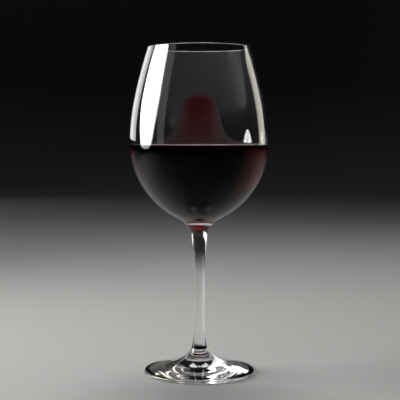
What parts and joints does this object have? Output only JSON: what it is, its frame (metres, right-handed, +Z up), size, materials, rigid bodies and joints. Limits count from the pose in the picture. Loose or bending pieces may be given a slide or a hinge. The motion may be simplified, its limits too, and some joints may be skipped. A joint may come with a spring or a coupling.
{
  "type": "wine glass",
  "caption": "Stemmed glass for red wine: a tall bowl that narrows to the rim, a slim stem and a flat round foot, part filled with red wine.",
  "frame": {"origin": "centre of the foot, on the surface that it stands on", "axes": "+Z up along the axis of the glass; the glass is round, so +X and +Y are any two directions across it"},
  "size_m": [0.0968, 0.0968, 0.2265],
  "materials": {
    "clear_glass": "gloss",
    "red_wine": "gloss"
  },
  "bodies": {
    "root": {"foot": "clear_glass", "stem": "clear_glass", "bowl": "clear_glass", "wine": "red_wine"}
  },
  "joints": []
}
